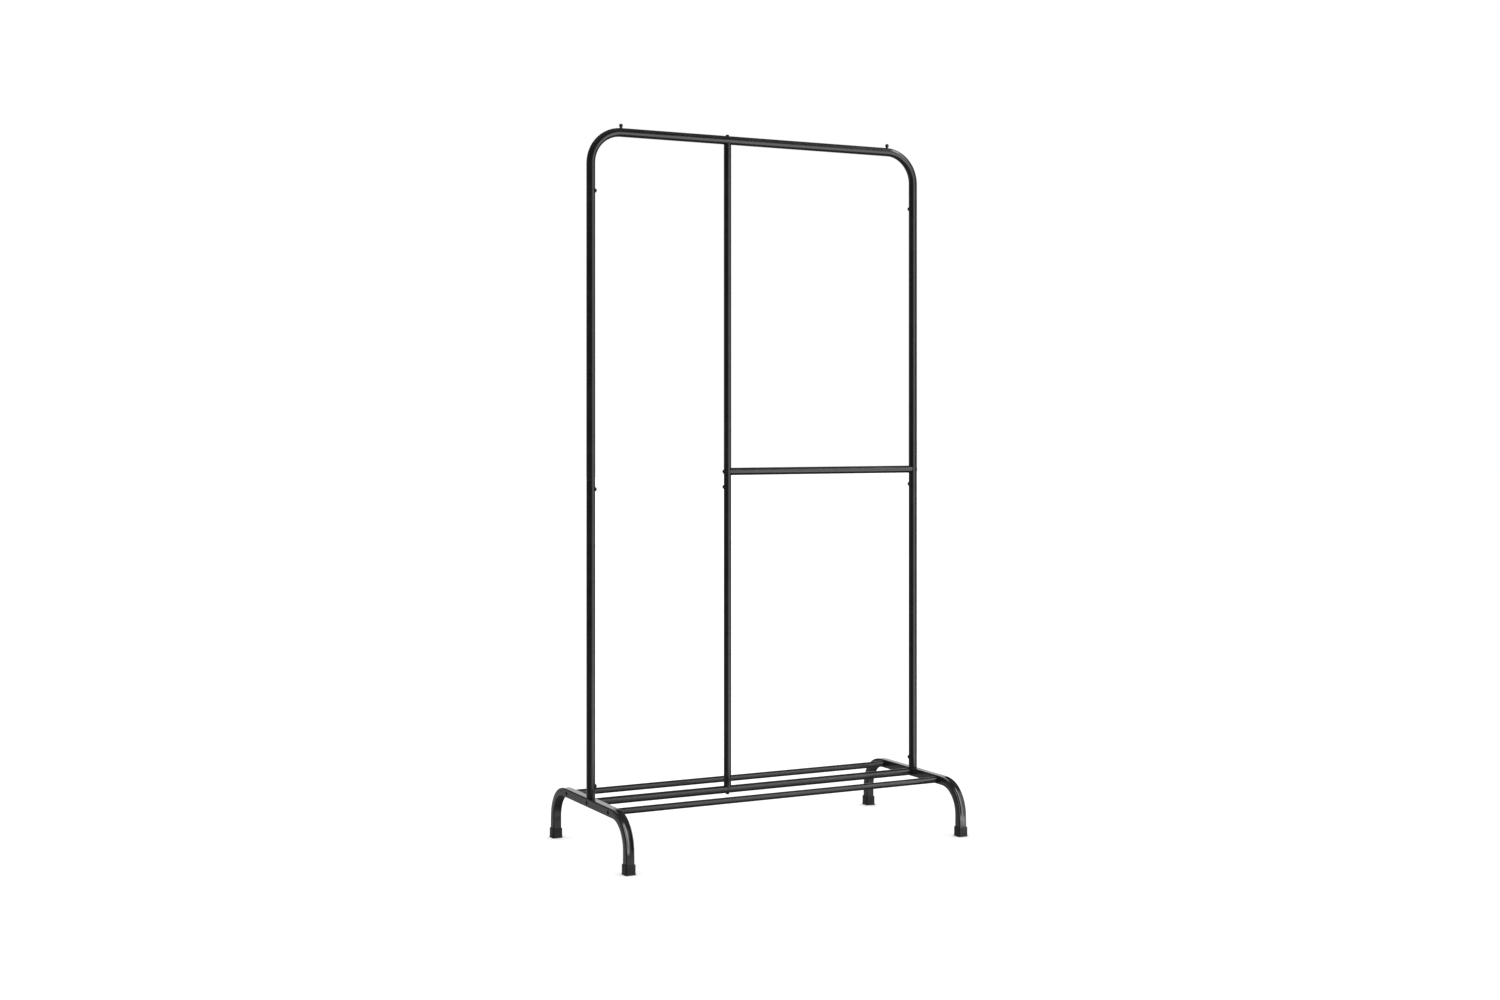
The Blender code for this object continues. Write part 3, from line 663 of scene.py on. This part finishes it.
# -------------------------------------------------------------- fasteners
def screw_rings(seat, w, head_r, head_h, shank_r, length, style, socket, sides=48):
    """Rings of a hex-socket screw, from the bottom of the socket over the head to the tip."""
    u, v = frame_for(w)
    hex_r = socket / 2 / math.cos(math.pi / 6)

    def hex_radius(a):
        k = (a + math.pi / 6) % (math.pi / 3) - math.pi / 6
        return hex_r * math.cos(math.pi / 6) / math.cos(k)

    def hexed(scale, h):
        return [seat + u * (hex_radius(TAU * i / sides) * scale * math.cos(TAU * i / sides))
                + v * (hex_radius(TAU * i / sides) * scale * math.sin(TAU * i / sides)) + w * h for i in range(sides)]

    def round_(r, h):
        return turned_rings(seat, u, v, w, [(r, h)], sides)[0]

    if style == "round":
        crown = []
        for k in range(1, 10):
            a = math.radians(66 - 66 * (k - 1) / 8)
            crown.append((head_r * math.cos(a), head_h * (0.14 + 0.86 * math.sin(a) / math.sin(math.radians(66)))))
        top = crown[0][1]
        flange = [(head_r, 0.10 * head_h), (head_r - 0.05 * MM, 0.02 * head_h), (head_r - 0.25 * MM, 0.0)]
    elif style == "cylinder":
        top = head_h
        crown = [(head_r - 0.5 * MM, head_h), (head_r - 0.22 * MM, head_h - 0.05 * MM),
                 (head_r - 0.05 * MM, head_h - 0.2 * MM), (head_r, head_h - 0.45 * MM), (head_r, 0.3 * MM)]
        flange = [(head_r - 0.1 * MM, 0.05 * MM), (head_r - 0.3 * MM, 0.0)]
    else:
        top = head_h
        crown = [(head_r - 0.3 * MM, head_h), (head_r - 0.1 * MM, head_h - 0.05 * MM), (head_r, head_h - 0.2 * MM)]
        flange = [(head_r, head_h - 0.45 * MM), (shank_r + 0.2 * MM, 0.1 * MM)]
    depth = min(2.0 * MM, 0.6 * head_h)
    rings = [hexed(0.15, top - depth - 0.35 * MM), hexed(0.7, top - depth - 0.12 * MM), hexed(1.0, top - depth),
             hexed(1.0, top - depth + 0.2 * MM), hexed(1.0, top - 0.25 * MM), hexed(1.03, top - 0.08 * MM),
             hexed(1.09, top - 0.0 * MM)]
    edge = [4, 5, 6]
    rim = hex_r * 1.16
    if crown[0][0] > rim + 0.1 * MM:
        rings.append(round_(rim, top + 0.01 * MM))
    for r, h in crown + flange:
        rings.append(round_(r, h))
    # shank with a shallow thread form
    rings.append(round_(shank_r, -0.1 * MM))
    h = -0.8 * MM
    pitch = 1.0 * MM
    while h > -length + 1.2 * MM:
        rings.append(round_(shank_r, h))
        rings.append(round_(shank_r - 0.30 * MM, h - 0.5 * pitch))
        h -= pitch
    rings.append(round_(shank_r - 0.2 * MM, -length + 0.6 * MM))
    rings.append(round_(shank_r - 0.7 * MM, -length))
    return rings, edge


def screw(node, seat, w, head_r, head_h, shank_r, length, style="round", socket=4.0 * MM):
    rings, edge = screw_rings(seat, w, head_r, head_h, shank_r, length, style, socket)
    return skin(f"{node}_fine", rings, SCREW, [node], cap_start=True, cap_end=True,
                edge=edge, sharp=50)


for side, x in (("left", -POST_X), ("right", POST_X)):
    inward = X if x < 0 else -X
    for level, z in SCREW_Z.items():
        screw(f"post_screw_{side}_{level}", Vector((x, 0, z)) + inward * (POST_R + GAP), inward,
              5.1 * MM, 4.0 * MM, 3.0 * MM, 12 * MM)
    for tag, y in (("front", -PITCH), ("middle", 0.0), ("rear", PITCH)):
        outward = -inward
        wall = POST_X - LEG_W / 2 + 1.2 * MM
        screw(f"shelf_screw_{side}_{tag}", Vector((0, y, SHELF_Z)) + outward * (wall + GAP), outward,
              4.6 * MM, 4.0 * MM, 3.0 * MM, 20 * MM, style="cylinder", socket=4.5 * MM)

screw("centre_post_joint_screw", Vector((CENTRE_X - MID_R - GAP, 0, SCREW_Z["middle"])), -X,
      4.85 * MM, 3.8 * MM, 2.5 * MM, 12 * MM)
screw("centre_post_top_screw", Vector((CENTRE_X, 0, RAIL_Z + POST_R + GAP)), Z.copy(),
      4.85 * MM, 3.2 * MM, 3.0 * MM, 35 * MM)
screw("centre_post_bottom_screw", Vector((CENTRE_X, 0, SHELF_Z - MID_R - GAP)), -Z,
      4.85 * MM, 3.2 * MM, 3.0 * MM, 35 * MM)
screw("mid_rail_screw_centre", Vector((CENTRE_X - MID_R - GAP, 0, MID_RAIL_Z)), -X,
      4.85 * MM, 3.8 * MM, 3.0 * MM, 35 * MM)
screw("mid_rail_screw_right", Vector((POST_X + POST_R - 3.0 * MM, 0, MID_RAIL_Z)), X.copy(),
      5.0 * MM, 2.8 * MM, 3.0 * MM, 32 * MM, style="flat")

# ------------------------------------------------------------ hanger stops
for side, x in (("left", -0.3835), ("right", 0.3835)):
    lo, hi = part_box(f"hanger_stop_peg_{side}")
    base = Vector(((lo.x + hi.x) / 2, (lo.y + hi.y) / 2, RAIL_Z + POST_R))
    ball, neck, centre = 4.9 * MM, 2.9 * MM, 6.0 * MM
    profile = [(0.4 * MM, -6.0 * MM), (2.4 * MM, -6.0 * MM), (2.85 * MM, -5.5 * MM), (2.85 * MM, 0.35 * MM),
               (3.5 * MM, 0.35 * MM), (3.72 * MM, 0.45 * MM), (3.8 * MM, 0.65 * MM), (3.72 * MM, 0.85 * MM),
               (3.45 * MM, 1.0 * MM), (3.15 * MM, 1.15 * MM), (3.0 * MM, 1.4 * MM), (2.92 * MM, 1.75 * MM)]
    start = math.asin((neck + 0.10 * MM) / ball)
    for i in range(21):
        a = start + (math.pi - start - 0.05) * i / 20
        profile.append((ball * math.sin(a), centre - ball * math.cos(a)))
    rings = turned_rings(base, X, Y, Z, profile, 48)
    skin(f"hanger_stop_peg_{side}_fine", rings, PEG, [f"hanger_stop_peg_{side}"],
         cap_start=True, cap_end=True, sharp=70)

# ------------------------------------------- nodes kept as they are, inside
for name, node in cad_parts.items():
    if name.startswith("post_spigot"):
        mat = COATS[3]
    elif "nut" in name or "insert" in name:
        mat = ZINC
    else:
        continue
    node.data.materials.clear()
    node.data.materials.append(mat)

# ============================================================ floor and light
bm = bmesh.new()
bmesh.ops.create_grid(bm, x_segments=1, y_segments=1, size=30.0)
mesh = bpy.data.meshes.new("floor")
bm.to_mesh(mesh)
bm.free()
floor = bpy.data.objects.new("floor", mesh)
floor.location = (0, 0, -0.0004)
bpy.context.scene.collection.objects.link(floor)
g = Graph("studio_floor")
floor.data.materials.append(g.out(Base_Color=(0.93, 0.93, 0.93), Roughness=0.9, Specular_IOR_Level=0.0))
floor.visible_glossy = False        # the tubes mirror the studio, not an endless white sheet

world = bpy.data.worlds.new("studio")
bpy.context.scene.world = world
world.use_nodes = True
tree = world.node_tree
tree.nodes.clear()


def wnode(kind, **settings):
    n = tree.nodes.new(kind)
    for key, value in settings.items():
        setattr(n, key, value)
    return n


def wmath(op, a, b):
    n = wnode("ShaderNodeMath", operation=op)
    for socket, value in ((n.inputs[0], a), (n.inputs[1], b)):
        if isinstance(value, (int, float)):
            socket.default_value = value
        else:
            tree.links.new(value, socket)
    return n.outputs[0]


def wramp(value, lo, hi, a=0.0, b=1.0):
    n = wnode("ShaderNodeMapRange", interpolation_type='SMOOTHSTEP')
    n.inputs["From Min"].default_value = lo
    n.inputs["From Max"].default_value = hi
    n.inputs["To Min"].default_value = a
    n.inputs["To Max"].default_value = b
    tree.links.new(value, n.inputs["Value"])
    return n.outputs["Result"]


direction = wnode("ShaderNodeTexCoord").outputs["Generated"]
split_xyz = wnode("ShaderNodeSeparateXYZ")
tree.links.new(direction, split_xyz.inputs[0])
up = split_xyz.outputs["Z"]


def along(vector):
    n = wnode("ShaderNodeVectorMath", operation='DOT_PRODUCT')
    tree.links.new(direction, n.inputs[0])
    n.inputs[1].default_value = Vector(vector).normalized()
    return n.outputs["Value"]


def heading(degrees):
    a = math.radians(degrees)
    return Vector((math.cos(a), math.sin(a), 0))


# what the coat mirrors: the pale floor below, a pale backdrop low behind, dim walls and ceiling
front = wramp(along(heading(-60)), 0.45, 0.85)
down = wramp(up, -0.10, -0.19)
shallow = wmath('MULTIPLY', wramp(up, -0.60, -0.30), wramp(along(heading(117)), 0.2, 0.8))
floor_glow = wmath('ADD', wmath('MULTIPLY', shallow, 0.21),
                   wmath('MULTIPLY', wmath('MULTIPLY', front, wramp(up, -0.90, -0.30)), 0.95))
floor_glow = wmath('MULTIPLY', down, wmath('ADD', floor_glow, 0.10))
back = wmath('MULTIPLY', wramp(along((0.4586, 0.8887, 0.22)), 0.80, 0.93), wramp(up, 0.45, 0.28))
side = wramp(along((-0.7, 0.7, 0.0)), 0.60, 0.95)
top = wramp(up, 0.55, 0.95)
glow = wmath('ADD', floor_glow, wmath('MULTIPLY', back, 1.10))
glow = wmath('ADD', glow, wmath('MULTIPLY', side, 0.10))
glow = wmath('ADD', glow, wmath('MULTIPLY', top, 0.22))
# a soft strip of light low behind, which the coat shows only from the back
strip = wmath('MULTIPLY', wramp(along(heading(95)), 0.955, 0.985), wmath('MULTIPLY', wramp(up, -0.45, -0.25), wramp(up, 0.45, 0.25)))
glow = wmath('ADD', glow, wmath('MULTIPLY', strip, 0.65))
# a long flash head, above and to the right: it glints only on bends, balls and screw heads
flash = wmath('MULTIPLY', wramp(split_xyz.outputs["X"], 0.54, 0.60), wramp(split_xyz.outputs["X"], 0.76, 0.70))
flash = wmath('MULTIPLY', flash, wmath('MULTIPLY', wramp(up, 0.22, 0.30), wramp(up, 0.86, 0.76)))
flash = wmath('MULTIPLY', flash, wramp(split_xyz.outputs["Y"], 0.1, -0.05))
glow = wmath('ADD', glow, wmath('MULTIPLY', flash, 7.5))
glow = wmath('ADD', glow, 0.03)

paths = wnode("ShaderNodeLightPath")
seen = wnode("ShaderNodeBackground")
seen.inputs["Color"].default_value = (1, 1, 1, 1)
seen.inputs["Strength"].default_value = 1.0
ambient = wnode("ShaderNodeBackground")
ambient.inputs["Color"].default_value = (1, 1, 1, 1)
ambient.inputs["Strength"].default_value = 1.35
mirrored = wnode("ShaderNodeBackground")
mirrored.inputs["Color"].default_value = (1, 1, 1, 1)
tree.links.new(glow, mirrored.inputs["Strength"])
pick = wnode("ShaderNodeMixShader")
tree.links.new(paths.outputs["Is Glossy Ray"], pick.inputs[0])
tree.links.new(ambient.outputs[0], pick.inputs[1])
tree.links.new(mirrored.outputs[0], pick.inputs[2])
final = wnode("ShaderNodeMixShader")
tree.links.new(paths.outputs["Is Camera Ray"], final.inputs[0])
tree.links.new(pick.outputs[0], final.inputs[1])
tree.links.new(seen.outputs[0], final.inputs[2])
tree.links.new(final.outputs[0], wnode("ShaderNodeOutputWorld").inputs["Surface"])



# softboxes: a tall wall of light to the front right and its dimmer wing
def softbox(name, place, aim, width, height, radiance):
    light = bpy.data.lights.new(name, 'AREA')
    light.shape = 'RECTANGLE'
    light.size, light.size_y = width, height
    light.energy = radiance * math.pi * width * height
    lamp = bpy.data.objects.new(name, light)
    lamp.location = place
    lamp.rotation_euler = Vector(aim).to_track_quat('-Z', 'Y').to_euler()
    lamp.visible_camera = False
    lamp.visible_diffuse = False
    bpy.context.scene.collection.objects.link(lamp)
    return lamp


softbox("softbox_main", (0.65, -1.09, 0.955), (-0.562, 0.827, 0.0), 1.21, 2.09, 2.0)
softbox("softbox_wing", (-0.069, -1.579, 0.955), (-0.562, 0.827, 0.0), 0.53, 2.09, 0.60)

# small bright cards close in front of the front feet: only the feet and their bends see them
def foot_card(name, foot_x, degrees, width, z_low, z_high, radiance, reach=0.12):
    way = heading(degrees)
    place = Vector((foot_x, -FOOT_Y - LEG_W / 2, 0)) + way * reach
    place.z = (z_low + z_high) / 2
    return softbox(name, place, -way, width, z_high - z_low, radiance)


foot_card("foot_card_right", POST_X, -55, 0.042, 0.001, 0.110, 3.2)
foot_card("foot_card_left", -POST_X, -49, 0.028, 0.018, 0.115, 4.2)

bpy.context.scene.view_settings.view_transform = 'Standard'

# ==================================================================== camera
cam_data = bpy.data.cameras.new("camera")
cam_data.sensor_width = 36.0
cam_data.lens = 46.54
cam_data.shift_y = -0.05239
cam_data.clip_start, cam_data.clip_end = 0.05, 100.0
camera = bpy.data.objects.new("camera", cam_data)
camera.location = (-2.296, -4.401, 1.0622)
camera.rotation_euler = (math.radians(90), 0, math.radians(-27.295))
bpy.context.scene.collection.objects.link(camera)
bpy.context.scene.camera = camera

bpy.context.view_layer.update()
